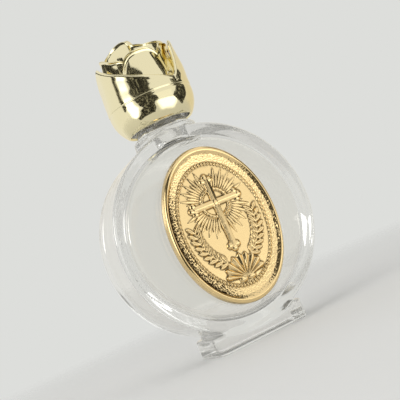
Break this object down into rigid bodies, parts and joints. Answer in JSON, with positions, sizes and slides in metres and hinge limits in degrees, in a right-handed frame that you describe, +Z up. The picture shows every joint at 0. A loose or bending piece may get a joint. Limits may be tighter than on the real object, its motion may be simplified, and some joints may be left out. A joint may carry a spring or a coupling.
{
  "type": "holy water bottle",
  "caption": "Small flat round clear glass bottle on a plinth foot, with a rose-shaped gold screw cap and an oval gold relief plaque on its front; holds holy water.",
  "frame": {"origin": "middle of the foot's underside, on the axis of the neck", "axes": "+Z up along the neck, +Y to the back, so the plaque faces -Y; +X to the viewer's right of the plaque"},
  "size_m": [0.05, 0.0227, 0.079],
  "materials": {
    "clear_glass": "clear, fire-polished",
    "liner_foam": "matt foam",
    "insert_plastic": "natural moulded",
    "pale_gold_plate": "mirror gold plating on plastic",
    "antique_gold": "polished gold plating with darkened recesses",
    "adhesive_film": "clear acrylic film"
  },
  "bodies": {
    "bottle": {"glass_bottle": "clear_glass", "medallion": "antique_gold", "adhesive_pad": "adhesive_film"},
    "seal": {"sealing_liner": "liner_foam"},
    "cap": {"rose_cap": "pale_gold_plate", "cap_insert": "insert_plastic"}
  },
  "joints": [
    {"name": "cap_rise", "type": "slide", "parent": "bottle", "child": "seal", "axis": [0, 0, 1], "range_m": [0, 0.01205]},
    {"name": "cap_turn", "type": "hinge", "parent": "seal", "child": "cap", "pos_m": [0, 0, 0.0625], "axis": [0, 0, 1], "range_deg": [0, 1440]}
  ],
  "couplings": [
    {"joint": "cap_rise", "follows": "cap_turn", "m_per_rad": 0.00047746}
  ]
}
